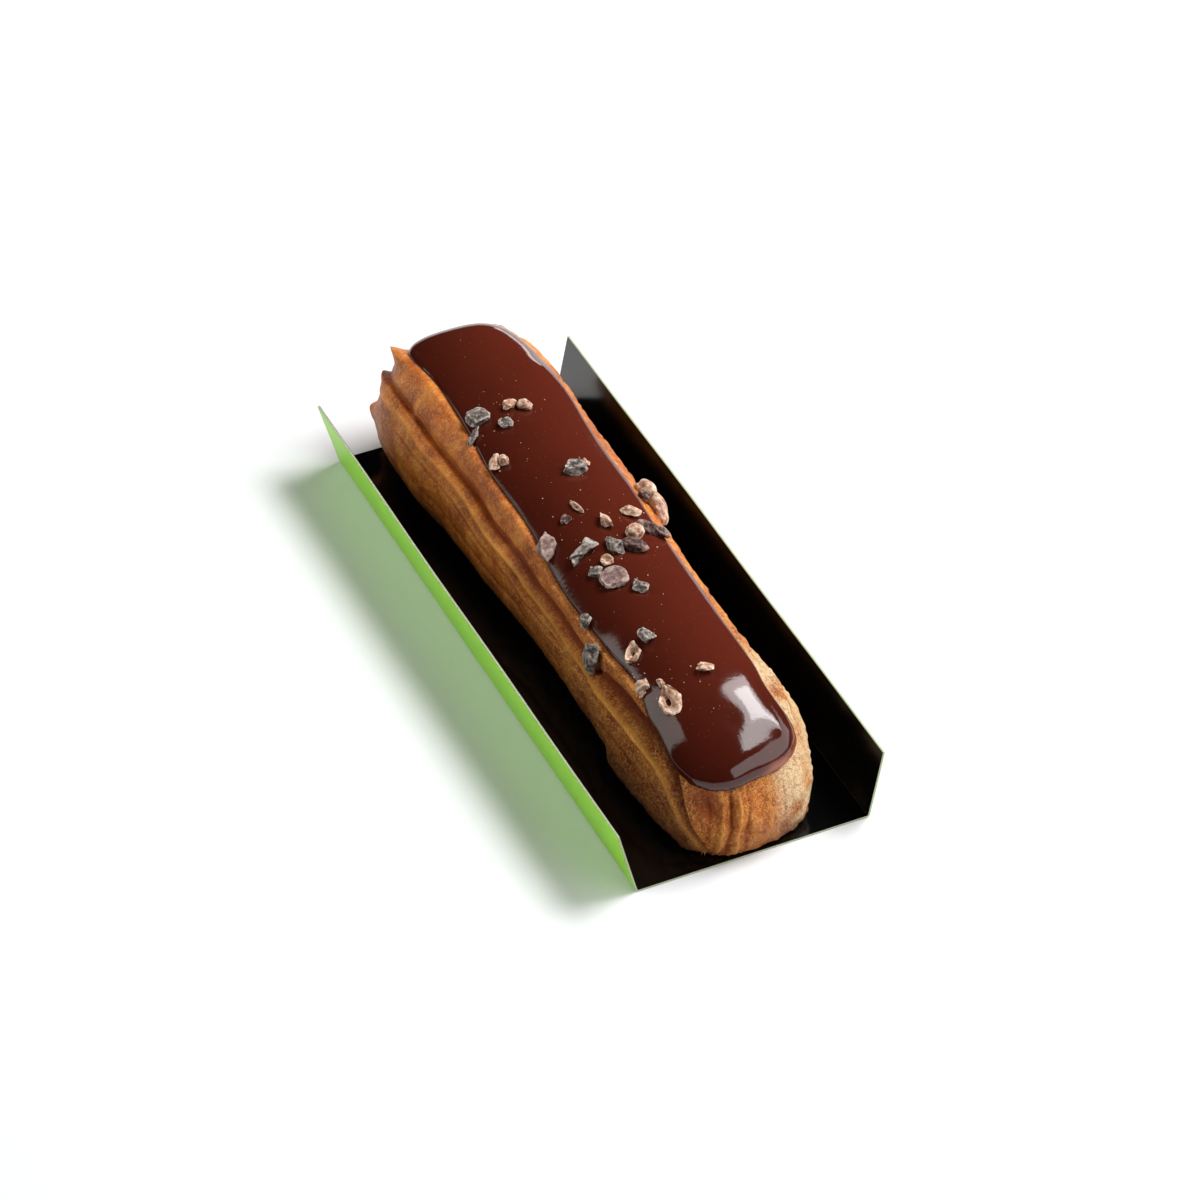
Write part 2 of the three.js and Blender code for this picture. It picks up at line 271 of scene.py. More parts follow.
def srgb(hex_colour):
    """An sRGB hex colour as linear red, green, blue and alpha."""
    channels = [int(hex_colour[i:i + 2], 16) / 255 for i in (1, 3, 5)]
    linear = [c / 12.92 if c <= 0.04045 else ((c + 0.055) / 1.055) ** 2.4 for c in channels]
    return (*linear, 1.0)


def feed(tree, node, inputs):
    """Sets a node's inputs; each is a plain value, another node's output, or a node, for its first output."""
    for name, value in inputs.items():
        if isinstance(value, bpy.types.Node):
            value = value.outputs[0]
        if isinstance(value, bpy.types.NodeSocket):
            tree.links.new(value, node.inputs[name])
        else:
            node.inputs[name].default_value = value


def add_node(tree, kind, inputs=None, stops=None, **settings):
    """Adds one node with its settings and links, and a ramp's stops if it has any."""
    made = tree.nodes.new("ShaderNode" + kind)
    for name, value in settings.items():
        setattr(made, name, value)
    feed(tree, made, inputs or {})
    if stops:
        ramp = made.color_ramp.elements
        while len(ramp) < len(stops):
            ramp.new(0.5)
        for element, (place, colour) in zip(ramp, stops):
            element.position = place
            element.color = srgb(colour)
    return made


def begin_finish(name):
    """A new material: its node tree, the surface's own place in millimetres, and its shader."""
    material = bpy.data.materials.new(name)
    material.use_nodes = True
    tree = material.node_tree
    tree.nodes.clear()
    own_place = add_node(tree, "TexCoord").outputs["Object"]
    place = add_node(tree, "VectorMath", {0: own_place, "Scale": 1 / MM}, operation="SCALE")
    shader = add_node(tree, "BsdfPrincipled")
    add_node(tree, "OutputMaterial", {"Surface": shader})
    return material, tree, place, shader


# ---------------------------------------------------------------- forms of the eclair

def smooth_step(value):
    """Eases from 0 to 1 as the value goes from 0 to 1."""
    held = np.clip(value, 0, 1)
    return held * held * (3 - 2 * held)


def fade(value, start, length):
    """0 before start and 1 from start + length on; with a negative length it grows the other way."""
    return smooth_step((value - start) / length)


def along_choux(values, y):
    """A smooth curve through values at even steps along the choux."""
    held = np.array(values, float)
    last = len(held) - 1
    place = np.clip((y - CHOUX_FRONT) / (CHOUX_BACK - CHOUX_FRONT), 0, 1) * last
    step = np.minimum(np.floor(place).astype(int), last - 1)
    part = place - step
    before = held[np.maximum(step - 1, 0)]
    start = held[step]
    end = held[step + 1]
    after = held[np.minimum(step + 2, last)]
    start_slope = (end - before) / 2
    end_slope = (after - start) / 2
    cubic = 2 * start - 2 * end + start_slope + end_slope
    square = -3 * start + 3 * end - 2 * start_slope - end_slope
    return ((cubic * part + square) * part + start_slope) * part + start


def along_path(path, y, ease=1.2):
    """The turn of a mark or an edge at y, with the corners between its points eased."""
    places = np.array([place for place, turn in path], float)
    turns = np.array([turn for place, turn in path], float)
    near = [np.interp(y + step * ease, places, turns) for step in (-2, -1, 0, 1, 2)]
    return sum(near) / len(near)


def frontness(y):
    """0 behind the rounded front, growing to 1 at its tip."""
    return np.clip((FRONT_ROUND_START - y) / (FRONT_ROUND_START - CHOUX_FRONT), 0, 1)


def end_rounding(y, front_power, back_power):
    """1 along the middle, falling to 0 at the two ends as a superellipse does."""
    front = frontness(y)
    back = np.clip((y - BACK_ROUND_START) / (CHOUX_BACK - BACK_ROUND_START), 0, 1)
    power = np.where(front > 0, front_power, back_power)
    return np.maximum(1 - np.maximum(front, back) ** power, 0) ** (1 / power)


def section_middle(y):
    """Where the widest part of the choux's section lies at y, across and up."""
    front = frontness(y)
    return CENTRE_X + FRONT_SHIFT_X * front, WIDEST_HEIGHT + (FRONT_NOSE_HEIGHT - WIDEST_HEIGHT) * front ** 2


def section_halves(y, middle_z, across, up):
    """The section's half width on this side of its middle, and its half height above or below that."""
    half_width = np.where(across < 0, along_choux(LEFT_HALF_WIDTHS, y), along_choux(RIGHT_HALF_WIDTHS, y))
    half_height = np.where(up > 0, along_choux(CROWN_HEIGHTS, y) - middle_z, UNDERSIDE_DEPTH)
    return half_width, half_height


def choux_form(y, degrees):
    """The plain baked form without its marks: points at y along it, degrees round from the right."""
    across = np.cos(np.radians(degrees))
    up = np.sin(np.radians(degrees))
    reach = (np.abs(across) ** SECTION_POWER + np.abs(up) ** SECTION_POWER) ** (-1 / SECTION_POWER)
    left_side = end_rounding(y, FRONT_LEFT_POWER, BACK_SIDE_POWER)
    right_side = end_rounding(y, FRONT_RIGHT_POWER, BACK_SIDE_POWER)
    side = left_side + (right_side - left_side) * smooth_step((across + 0.3) / 0.6)
    crown = end_rounding(y, FRONT_CROWN_POWER, BACK_CROWN_POWER)
    middle_x, middle_z = section_middle(y)
    half_width, half_height = section_halves(y, middle_z, across, up)
    x = middle_x + half_width * side * reach * across
    z = middle_z + half_height * np.where(up > 0, crown, side) * reach * up
    return np.stack([x, y + FRONT_SKEW * frontness(y) * (x - middle_x), z], -1)


def grid_normals(points):
    """Outward directions of a grid of points: rows along the eclair, columns round it."""
    outward = np.cross(np.gradient(points, axis=0), np.gradient(points, axis=1))
    return outward / (np.linalg.norm(outward, axis=-1, keepdims=True) + 1e-9)


def crumple(points, size, seed):
    """Smooth random heights from -1 to 1 that change over about size millimetres."""
    table = np.random.default_rng(seed).uniform(-1, 1, (CRUMPLE_CELLS,) * 3)
    scaled = np.asarray(points) / size + 100
    cell = np.floor(scaled).astype(int)
    part = smooth_step(scaled - cell)
    total = np.zeros(scaled.shape[:-1])
    for corner in np.ndindex(2, 2, 2):
        weight = np.prod(np.where(np.array(corner), part, 1 - part), axis=-1)
        x, y, z = np.moveaxis((cell + corner) % CRUMPLE_CELLS, -1, 0)
        total += weight * table[x, y, z]
    return total


def hump(distance, width):
    """1 at no distance and gone past about two widths."""
    return np.exp(-(distance / width) ** 2)


def add_object(name, data):
    """A new object in the scene, of a mesh, a lamp or a camera."""
    made = bpy.data.objects.new(name, data)
    bpy.context.scene.collection.objects.link(made)
    return made


def mesh_piece(name, points, faces, materials, marks=None):
    """A smooth mesh object from points in millimetres, with its materials and its surface marks."""
    mesh = bpy.data.meshes.new(name)
    mesh.from_pydata((np.asarray(points) * MM).tolist(), [], faces)
    mesh.update()
    for mark, values in (marks or {}).items():
        held = np.asarray(values, np.float32).ravel()
        mesh.attributes.new(mark, "FLOAT", "POINT").data.foreach_set("value", held)
    mesh.shade_smooth()
    for material in materials:
        mesh.materials.append(material)
    return add_object(name, mesh)


# ---------------------------------------------------------------- choux

def folded_turn(points, y):
    """The turn of a point about a centre that slides to the spot where the front's ridges close in."""
    slide = smooth_step((FOLD_START - y) / FOLD_LENGTH)
    middle_x, middle_z = section_middle(y)
    x = points[..., 0] - (middle_x * (1 - slide) + FOLD_SPOT_X * slide)
    z = points[..., 2] - (middle_z * (1 - slide) + FOLD_SPOT_Z * slide)
    half_width, half_height = section_halves(y, middle_z, x, z)
    return np.degrees(np.arctan2(z / half_height, x / half_width)) % 360


def turns_apart(a, b):
    """Signed difference of two turns in degrees, from -180 to 180."""
    return (a - b + 180) % 360 - 180


def ridge_end_hollow(degrees):
    """0 at the point of each piped ridge's end and 1 in the hollow arc between two points."""
    ends = np.sort(np.array(RIDGE_END_TURNS, float))
    ends = np.concatenate([ends, [ends[0] + 360]])
    turned = np.where(degrees < ends[0], degrees + 360, degrees)
    place = np.clip(np.searchsorted(ends, turned, side="right") - 1, 0, len(ends) - 2)
    part = (turned - ends[place]) / (ends[place + 1] - ends[place])
    return np.sin(np.pi * part) ** 0.75


def choux_relief(points, y, degrees):
    """Height of the piping marks and the crust over the plain form, and how strong each mark is."""
    turn = folded_turn(points, y)
    along = points * [0, 1, 0]
    left_line = along_path(LEFT_GROOVE, y)
    right_line = along_path(RIGHT_GROOVE, y, RIGHT_GROOVE_EASE)
    left = turns_apart(turn, left_line + GROOVE_WANDER * crumple(along, size=9, seed=3))
    right = -turns_apart(turn, right_line + GROOVE_WANDER * crumple(along, size=9, seed=4))
    right_share = 1 - fade(y, *RIGHT_GROOVE_ENDS)

    def marks_at(place, width):
        """How strongly a mark beside both grooves is felt: at a turn below the groove, this wide."""
        return hump(left - place, width) + right_share * hump(right - place, width)

    # The depth of the grooves as a share of their full depth, which varies along them and grows to the front.
    depth = 0.8 + 0.3 * crumple(along, size=13, seed=5) + 0.55 * fade(y, *GROOVE_DEEPENS)
    for bridge in GROOVE_BRIDGES:
        depth = depth * (1 - BRIDGE_RISE * hump(y - bridge, BRIDGE_LENGTH))

    # Near the front the left groove opens and its lip becomes a thin flap; the far end is smoother.
    near_front = fade(y, *NEAR_FRONT)
    far_end = fade(y, *FAR_END)
    opening = GROOVE_WIDTH + 1.6 * near_front
    groove = hump(left + 0.8 * near_front, opening) + right_share * hump(right, GROOVE_WIDTH)
    valley = marks_at(*VALLEY)
    lip_place = LIP_TURN + 2.5 * near_front + 1.5 * crumple(along, size=11, seed=25)
    under_flap = marks_at(lip_place + UNDER_FLAP_TURN, UNDER_FLAP_WIDTH)
    seam_place = SEAM_TURN + 2.5 * crumple(along, size=17, seed=6)
    seam_depth = np.clip(0.45 + 0.55 * crumple(along, size=12, seed=7), 0, 1) * (1 - 0.7 * far_end)

    # The crust: fine lines along the ridges, folds at the front, and flakes that are coarser to the front.
    x, z = points[..., 0], points[..., 2]
    no_depth = np.zeros_like(y)
    line_noise = crumple(np.stack([turn / 1.7, y / 13, no_depth], -1), size=1, seed=11)
    line_patches = 0.5 + 0.5 * crumple(points, size=6, seed=15)
    fold_noise = crumple(np.stack([turn / 8, y / 9, no_depth], -1), size=1, seed=16)
    stretched = points * [1, 0.55, 1]
    coarse = 0.4 + 0.6 * fade(y, 20, -70)
    front_face = fade(y, -63.5, -2.5) * fade(z, 1, 2) * (1 - fade(z, 14, 4))
    slanted = x - CREASE_SLANT * (z - CREASE_MIDDLE_Z) - 0.5 * crumple(points, size=5, seed=19)
    creases = sum(height * hump(slanted - across, CREASE_WIDTH) for across, height in FRONT_CREASES)
    from_hollow = np.hypot(
        (y - HOLLOW_Y) / HOLLOW_LENGTH, MM_PER_DEGREE * turns_apart(degrees, HOLLOW_TURN) / HOLLOW_WIDTH
    )
    foot = fade(z, 5, -4)
    from_icing = turns_apart(degrees, along_path(ICING_LEFT_EDGE, y))
    bulge = hump(turns_apart(degrees, BULGE_TURN), BULGE_WIDTH)
    shapes = {
        "crack": hump(left - CRACK_TURN, CRACK_WIDTH) * hump(y - CRACK_Y, CRACK_LENGTH),
        "lip": (1 + 0.6 * near_front - 0.5 * far_end) * marks_at(lip_place, LIP_WIDTH),
        "flap": near_front * (marks_at(lip_place, FLAP_WIDTH) - 0.9 * under_flap),
        "upper_lobe": marks_at(*UPPER_LOBE),
        "lower_lobe": marks_at(*LOWER_LOBE),
        "seam": seam_depth * marks_at(seam_place, SEAM_WIDTH),
        "seam_lip": seam_depth * marks_at(seam_place - SEAM_LIP_TURN, SEAM_LIP_WIDTH),
        "low_seam": (1 - 0.8 * far_end) * marks_at(*LOW_SEAM),
        "lines": line_noise * line_patches * (1.1 - fade(y, -28, 34)),
        "folds": fold_noise * fade(y, -60, -7),
        "rough": coarse * crumple(points, size=0.8, seed=12),
        "lumps": coarse * crumple(stretched, size=2.6, seed=13),
        "crinkle": coarse * (1 - 2 * np.abs(crumple(stretched, size=2.2, seed=17))),
        "swells": crumple(points, size=9, seed=14),
        "creases": creases * front_face,
        "hollow": hump(from_hollow, 1),
        "foot_lumps": foot * crumple(points, size=2.4, seed=23),
        "foot_grit": foot * crumple(points, size=1.1, seed=24),
        "foot_bulge": bulge * fade(y, -37, -2) * fade(y, -68, 6),
        "right_crumbs": crumple(points, size=1, seed=26) * fade(x, 7, 5) * fade(z, 6, 6),
        "beside_icing": hump(from_icing - 2.5, 4) * fade(y, -64, 8),
    }

    def total(weights):
        """All the marks together, each as strong as its weight says."""
        return sum(weight * shapes[name] for name, weight in weights.items())

    furrow = GROOVE_DEPTH * groove + VALLEY_DEPTH * valley
    relief = total(MARK_HEIGHTS) - depth * (1 - 0.25 * far_end) * furrow
    # The dark of the grooves, valleys, seams and front hollow: partly the crust's own orange-brown and partly
    # painted shade in these recesses.
    dark = (1 - 0.4 * far_end) * (groove + VALLEY_TONE * valley)
    marks = {
        "groove": np.clip(dark + total(GROOVE_TONES), 0, 1),
        "crest": np.clip(total(CREST_TONES), 0, 1),
        "shade": np.clip(total(SHADE_TONES), 0, 1),
        "coarse": coarse,
        "face": fade(y, -62, -4) * fade(z, 18, -6) * (1 - 0.7 * fade(x, 1, 7)),
    }
    return relief, marks


def build_choux(finish):
    """The baked crust: a grid of rows along it and columns round it, closed by a fan at each end."""
    front_quarter = np.sin(np.radians(np.linspace(89, 0, FRONT_ROWS)))
    back_quarter = np.sin(np.radians(np.linspace(0, 89, BACK_ROWS)))
    rows = np.concatenate([
        FRONT_ROUND_START + (CHOUX_FRONT - FRONT_ROUND_START) * front_quarter,
        np.linspace(FRONT_ROUND_START, BACK_ROUND_START, MIDDLE_ROWS)[1:-1],
        BACK_ROUND_START + (CHOUX_BACK - BACK_ROUND_START) * back_quarter,
    ])
    turns = np.concatenate([
        np.linspace(start, end, count, endpoint=False) for start, end, count in CHOUX_COLUMNS
    ]) % 360
    y, degrees = np.meshgrid(rows, turns, indexing="ij")
    form = choux_form(y, degrees)
    outward = grid_normals(form)
    relief, marks = choux_relief(form, y, degrees)

    hollow = ridge_end_hollow(degrees)
    rim_reach = np.where(y < RIDGE_END_RIM, RIM_REACH_BEFORE, RIM_REACH_PAST)
    rim = smooth_step(1 - np.abs(y - RIDGE_END_RIM) / rim_reach)
    relief = relief + rim * (RIM_RISE - RIM_HOLLOW * hollow)
    left_inset = turns_apart(along_path(ICING_LEFT_EDGE, y), degrees)
    right_inset = turns_apart(degrees, along_path(ICING_RIGHT_EDGE, y))
    under_icing = fade(np.minimum(left_inset, right_inset), *UNDER_ICING_SIDE)
    under_icing = under_icing * fade(y, *UNDER_ICING_FRONT) * fade(y, *UNDER_ICING_BACK)
    relief = relief * (1 - under_icing) - UNDER_ICING * under_icing
    points = form + outward * relief[..., None]
    points[..., 1] += rim * (RIM_PUSH - RIM_PULL * hollow) * (1 - under_icing)
    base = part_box("choux_body")[0].z / MM
    points[..., 2] = np.maximum(points[..., 2], base)

    count = len(turns)
    faces = []
    for row in range(len(rows) - 1):
        start = row * count
        for column in range(count):
            after = (column + 1) % count
            faces.append((start + column, start + count + column, start + count + after, start + after))
    front_tip = len(rows) * count
    last = front_tip - count
    for column in range(count):
        after = (column + 1) % count
        faces.append((front_tip, column, after))
        faces.append((front_tip + 1, last + after, last + column))
    flat = points.reshape(-1, 3)
    tips = np.array([flat[:count].mean(0), flat[last:].mean(0)])

    x, z = points[..., 0], points[..., 2]
    marks["height"] = np.clip(z / CRUST_HEIGHT, 0, 1)
    # Painted key light: the right of the near end, facing the key light, painted paler in patches, partly as
    # a paler bake.
    pale_patches = smooth_step(0.75 + 0.8 * crumple(points, size=3.5, seed=18))
    right_front = fade(x, *PALE_ACROSS) * fade(points[..., 1], *PALE_ALONG)
    marks["pale"] = right_front * fade(z, *PALE_UP) * pale_patches
    marks = {name: np.concatenate([values.ravel(), [0, 0]]) for name, values in marks.items()}
    return mesh_piece("choux_crust", np.concatenate([flat, tips]), faces, [finish], marks)


# ---------------------------------------------------------------- icing

def build_icing(finish):
    """The poured icing: a grid over the crust that thickens in from its lip, and a sunken skirt."""
    even = np.linspace(-1, 1, ICING_ROWS)
    to_ends = 0.7 * even + 0.3 * np.sin(np.pi / 2 * even)
    y_line = (ICING_FRONT + ICING_BACK) / 2 + (ICING_BACK - ICING_FRONT) / 2 * to_ends
    even = np.linspace(-1, 1, ICING_COLUMNS)
    y, share = np.meshgrid(y_line, 0.5 * even + 0.5 * np.sin(np.pi / 2 * even), indexing="ij")

    left = along_path(ICING_LEFT_EDGE, y)
    right = along_path(ICING_RIGHT_EDGE, y)
    from_front = np.clip((y - ICING_FRONT) / ICING_FRONT_ROUND, 0, 1)
    from_back = np.clip((ICING_BACK - y) / ICING_BACK_ROUND, 0, 1)
    widening = np.sqrt(np.clip(1 - (1 - np.minimum(from_front, from_back)) ** 2, 0, 1))
    reach = (ICING_END_WIDTH + (1 - ICING_END_WIDTH) * widening) * share
    degrees = (left + right) / 2 + (left - right) / 2 * reach
    y = y - ICING_BACK_ARC * reach ** 2 * (1 - from_back)
    y = y - ICING_DRAW * np.maximum(y - ICING_DRAWS_BACK, 0) ** 2

    foot = choux_form(y, degrees)
    outward = grid_normals(foot)
    rim = np.concatenate([foot[0], foot[:, -1], foot[-1, ::-1], foot[::-1, 0]])
    rim = np.concatenate([rim + (np.roll(rim, -1, 0) - rim) * part for part in (0, 0.25, 0.5, 0.75)])
    from_rim = np.concatenate([
        np.sqrt(((part[:, None] - rim[None]) ** 2).sum(-1).min(1))
        for part in np.array_split(foot.reshape(-1, 3), 60)  # in parts, to spare memory
    ]).reshape(y.shape)
    lip_height = np.interp(y, *np.transpose(ICING_LIP_HEIGHTS))
    lip = np.clip(from_rim / np.interp(y, *np.transpose(ICING_LIP_WIDTHS)), 0, 1)
    crown = np.clip(from_rim / np.interp(y, *np.transpose(ICING_SHOULDERS)), 0, 1)
    thickness = lip_height * np.sqrt(1 - (1 - lip) ** 2)
    thickness += (ICING_THICKNESS - lip_height) * (1 - (1 - crown) ** 2)
    pour = POUR_UNEVENNESS * crumple(foot, size=19, seed=21)
    for swell in POUR_SWELLS:
        across = MM_PER_DEGREE * (degrees - swell.turn)
        pour = pour + swell.rise * hump(np.hypot((y - swell.along) / swell.length, across / swell.width), 1)
    thickness += crown * pour
    outer = foot + outward * (thickness - ICING_SINK)[..., None]
    inner = foot - outward * (ICING_SINK + ICING_SKIRT)

    points = np.concatenate([outer.reshape(-1, 3), inner.reshape(-1, 3)])
    under = ICING_ROWS * ICING_COLUMNS
    faces = []
    for row in range(ICING_ROWS - 1):
        for column in range(ICING_COLUMNS - 1):
            a = row * ICING_COLUMNS + column
            b = a + ICING_COLUMNS
            faces.append((a, b, b + 1, a + 1))
            faces.append((a + under, a + under + 1, b + under + 1, b + under))
    front_edge = list(range(ICING_COLUMNS))
    left_edge = [row * ICING_COLUMNS + ICING_COLUMNS - 1 for row in range(1, ICING_ROWS)]
    back_edge = [under - 1 - column for column in range(1, ICING_COLUMNS)]
    right_edge = [row * ICING_COLUMNS for row in range(ICING_ROWS - 2, 0, -1)]
    edge = front_edge + left_edge + back_edge + right_edge
    for a, b in zip(edge, edge[1:] + edge[:1]):
        faces.append((a, b, b + under, a + under))
    # Thin on its right behind the front, and a mere film over the crust round the front right corner.
    thin = smooth_step(0.55 - 0.6 * share) * fade(y, -64, 20)
    near_rim = 1 - smooth_step(from_rim / (3.2 + 1.2 * crumple(foot, size=3, seed=27)))
    film = near_rim * fade(foot[..., 0], 1, 5) * fade(y, -59, -4)
    marks = {"thin": np.tile(thin.ravel(), 2), "film": np.tile(film.ravel(), 2)}
    return mesh_piece("icing_coat", points, faces, [finish], marks)


# ---------------------------------------------------------------- folded card

def build_card(inside, outside, cut_edge):
    """The card with its folds rounded, its walls a little bowed and its cut edges bare."""
    low, high = (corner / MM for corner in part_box("folded_card"))
    wall_height = high.z

    def wall_line(top_x, side):
        """Middle line of one wall, from its fold to its top."""
        top = np.array([top_x - side * CARD_THICKNESS / 2, wall_height - CARD_TOP_INSET])
        foot = np.array([side * CARD_HALF_BASE, CARD_THICKNESS / 2])
        rise = (top - foot) / np.linalg.norm(top - foot)
        start = foot - np.array([side * CARD_FOLD, 0])
        end = foot + rise * CARD_FOLD
        bend = [
            start * (1 - t) ** 2 + foot * 2 * t * (1 - t) + end * t * t
            for t in np.linspace(0, 1, FOLD_POINTS)
        ]
        return bend + [end + (top - end) * t for t in np.linspace(0, 1, WALL_POINTS)[1:]]

    left = wall_line(low.x, -1)[::-1]
    right = wall_line(high.x, 1)
    flat_half = CARD_HALF_BASE - CARD_FOLD
    base = [np.array([x, CARD_THICKNESS / 2]) for x in np.linspace(-flat_half, flat_half, BASE_POINTS)[1:-1]]
    line = np.array(left + base + right)
    along = np.gradient(line, axis=0)
    upward = np.stack([-along[:, 1], along[:, 0]], -1)
    upward /= np.linalg.norm(upward, axis=1, keepdims=True)
    sections = [line + upward * CARD_THICKNESS / 2, line - upward * CARD_THICKNESS / 2]
    rows = np.linspace(low.y, high.y, CARD_ROWS)
    wall_share = np.clip((line[:, 1] - 1) / (wall_height - 1), 0, 1)
    inside_kind, outside_kind, edge_kind = 0, 1, 2
    points = []
    for y in rows:
        wave = math.sin(y / 33 + 0.6) + 0.4 * math.sin(y / 9.5)
        bow = WALL_BOW * wave * wall_share ** 1.5 * np.sign(line[:, 0])
        for section in sections:
            points += [(x + shift, y, max(z, 0)) for (x, z), shift in zip(section, bow)]
    count = len(line)
    faces = []
    kinds = []
    for row in range(len(rows) - 1):
        a = row * 2 * count
        b = a + 2 * count
        for step in range(count - 1):
            faces.append((a + step, a + step + 1, b + step + 1, b + step))
            faces.append((a + count + step, b + count + step, b + count + step + 1, a + count + step + 1))
            kinds += [inside_kind, outside_kind]
        faces.append((a, b, b + count, a + count))
        faces.append((a + count - 1, a + 2 * count - 1, b + 2 * count - 1, b + count - 1))
        kinds += [edge_kind, edge_kind]
    end = (len(rows) - 1) * 2 * count
    for step in range(count - 1):
        faces.append((step, step + count, step + count + 1, step + 1))
        faces.append((end + step, end + step + 1, end + step + count + 1, end + step + count))
        kinds += [edge_kind, edge_kind]
    layer = np.tile(np.repeat([0.0, 1.0], count), len(rows))
    piece = mesh_piece("card_folded", points, faces, [inside, outside, cut_edge], {"layer": layer})
    piece.data.polygons.foreach_set("material_index", kinds)
    shape = bmesh.new()
    shape.from_mesh(piece.data)
    for face in shape.faces:
        if face.material_index == edge_kind:
            face.smooth = False
            for edge in face.edges:
                edge.smooth = False
    shape.to_mesh(piece.data)
    shape.free()
    return piece


# ---------------------------------------------------------------- cocoa nibs

def camera_axes():
    """The camera's place in mm, and its right, up and forward directions."""
    turn = math.radians(CAMERA_TURN)
    rise = math.radians(CAMERA_RISE)
    back = Vector((math.sin(turn) * math.cos(rise), -math.cos(turn) * math.cos(rise), math.sin(rise)))
    level = (-back).cross(Vector((0, 0, 1))).normalized()
    upright = level.cross(-back)
    roll = math.radians(CAMERA_ROLL)
    right = math.cos(roll) * level + math.sin(roll) * upright
    up = math.cos(roll) * upright - math.sin(roll) * level
    return Vector(CAMERA_TARGET) + back * CAMERA_DISTANCE, right, up, -back


def line_of_sight(across, down):
    """The camera's place, and the direction in which it sees a step of its view."""
    eye, right, up, forward = camera_axes()
    across = (across - PICTURE_SIDE / 2) / FOCAL
    down = (down - PICTURE_SIDE / 2) / FOCAL
    return eye, (forward + right * across - up * down).normalized()


def surface_tree(pieces):
    """The pieces' surfaces in mm, for finding where a line of sight lands."""
    points = []
    faces = []
    for piece in pieces:
        start = len(points)
        points += [vertex.co / MM for vertex in piece.data.vertices]
        faces += [[start + corner for corner in polygon.vertices] for polygon in piece.data.polygons]
    return BVHTree.FromPolygons(points, faces)


def seat_on(surface, eye, aim):
    """Where a line from the eye lands on the eclair, or the nearest place to it where it just misses."""
    place, normal, index, distance = surface.ray_cast(eye, aim)
    if place is not None:
        return place, normal
    steps = np.arange(CAMERA_DISTANCE - LINE_SEARCH, CAMERA_DISTANCE + LINE_SEARCH, 1.0)
    nearest = [surface.find_nearest(eye + aim * step) for step in steps]
    place, normal, index, distance = min(nearest, key=lambda found: found[3])
    return place, normal


def unit_ball(levels):
    """Points and faces of a ball of radius 1, made of even triangles."""
    ball = bpy.data.meshes.new("ball")
    shape = bmesh.new()
    bmesh.ops.create_icosphere(shape, subdivisions=levels, radius=1)
    shape.to_mesh(ball)
    shape.free()
    points = np.array([vertex.co for vertex in ball.vertices])
    faces = np.array([polygon.vertices for polygon in ball.polygons])
    bpy.data.meshes.remove(ball)
    return points, faces


def worn_edges_shaded_hollows(points, faces):
    """Near 1 on a lump's sharp edges, which are worn, and near 0 in its hollows, which take painted shade, by
    how far each point stands out.
    """
    around = points.copy()
    for smoothing in range(WEAR_AND_SHADE_SMOOTHINGS):
        total = np.zeros_like(around)
        count = np.zeros(len(around))
        for corner in range(3):
            for other in (1, 2):
                np.add.at(total, faces[:, corner], around[faces[:, (corner + other) % 3]])
                np.add.at(count, faces[:, corner], 1)
        around = total / count[:, None]
    outward = points - points.mean(0)
    outward /= np.linalg.norm(outward, axis=1, keepdims=True) + 1e-9
    stands_out = ((points - around) * outward).sum(1)
    spread = WEAR_AND_SHADE_SPREAD * stands_out.std() + 1e-9
    return np.clip(0.5 + 0.5 * (stands_out - np.median(stands_out)) / spread, 0, 1)


def broken_lump(ball, faces, nib, seed):
    """A broken piece of roasted bean: an uneven ball, split along flat faces, and how worn each point is,
    with its hollows marked for painted shade.

    It is shaped as a lump of radius 1 and brought to its size at the end.
    """
    draw = np.random.default_rng(seed)
    points = ball * (1 + 0.16 * crumple(ball, size=0.9, seed=seed + 1)[:, None])
    cut_count, cut_depth = SPLITS[nib.shape]
    for cut in range(cut_count):
        facing = draw.normal(size=3)
        facing /= np.linalg.norm(facing)
        past = points @ facing - draw.uniform(cut_depth, cut_depth + SPLIT_SPREAD)
        points -= np.clip(past, 0, None)[:, None] * facing
    x, y, z = points.T
    if nib.shape in ("slab", "disc"):  # cut off flat above, a little on a slant
        points[:, 2] = np.clip(z, -0.8, 0.42 + 0.12 * x + 0.05 * crumple(points, size=0.4, seed=seed))
    if nib.shape in ("cup", "shell"):  # hollowed from above
        hollow = hump(np.hypot(0.85 * x - 0.05, 1.1 * y - 0.1), 0.52) ** 0.8 * (z > 0)
        points[:, 2] -= CUP_DEPTH * hollow
    if nib.shape == "shell":  # and its two ends curl up
        points[:, 2] += 0.7 * points[:, 0] ** 2
    if nib.shape == "leaf":  # narrow at its ends, with a ridge along its back
        points[:, 1] *= 0.35 + 0.65 * np.clip(1 - x ** 2, 0, 1)
        points[:, 2] = np.where(z > 0, z * (1.1 - 0.9 * np.abs(y - 0.1)), 0.6 * z)
    if nib.shape == "fork":  # split in two at one end
        points[:, 1] = 0.7 * y + np.where(x > 0, np.sign(y) * 0.9 * x ** 1.5, 0)
        points[:, 2] *= 0.8
    outward = points / (np.linalg.norm(points, axis=1, keepdims=True) + 1e-9)
    rough = 0.1 * crumple(points, size=0.5, seed=seed + 2) + 0.05 * crumple(points, size=0.2, seed=seed + 3)
    points += outward * rough[:, None]
    points *= np.array([nib.length, nib.width, nib.height]) * NIB_SCALE / 2
    return points, worn_edges_shaded_hollows(points, faces)


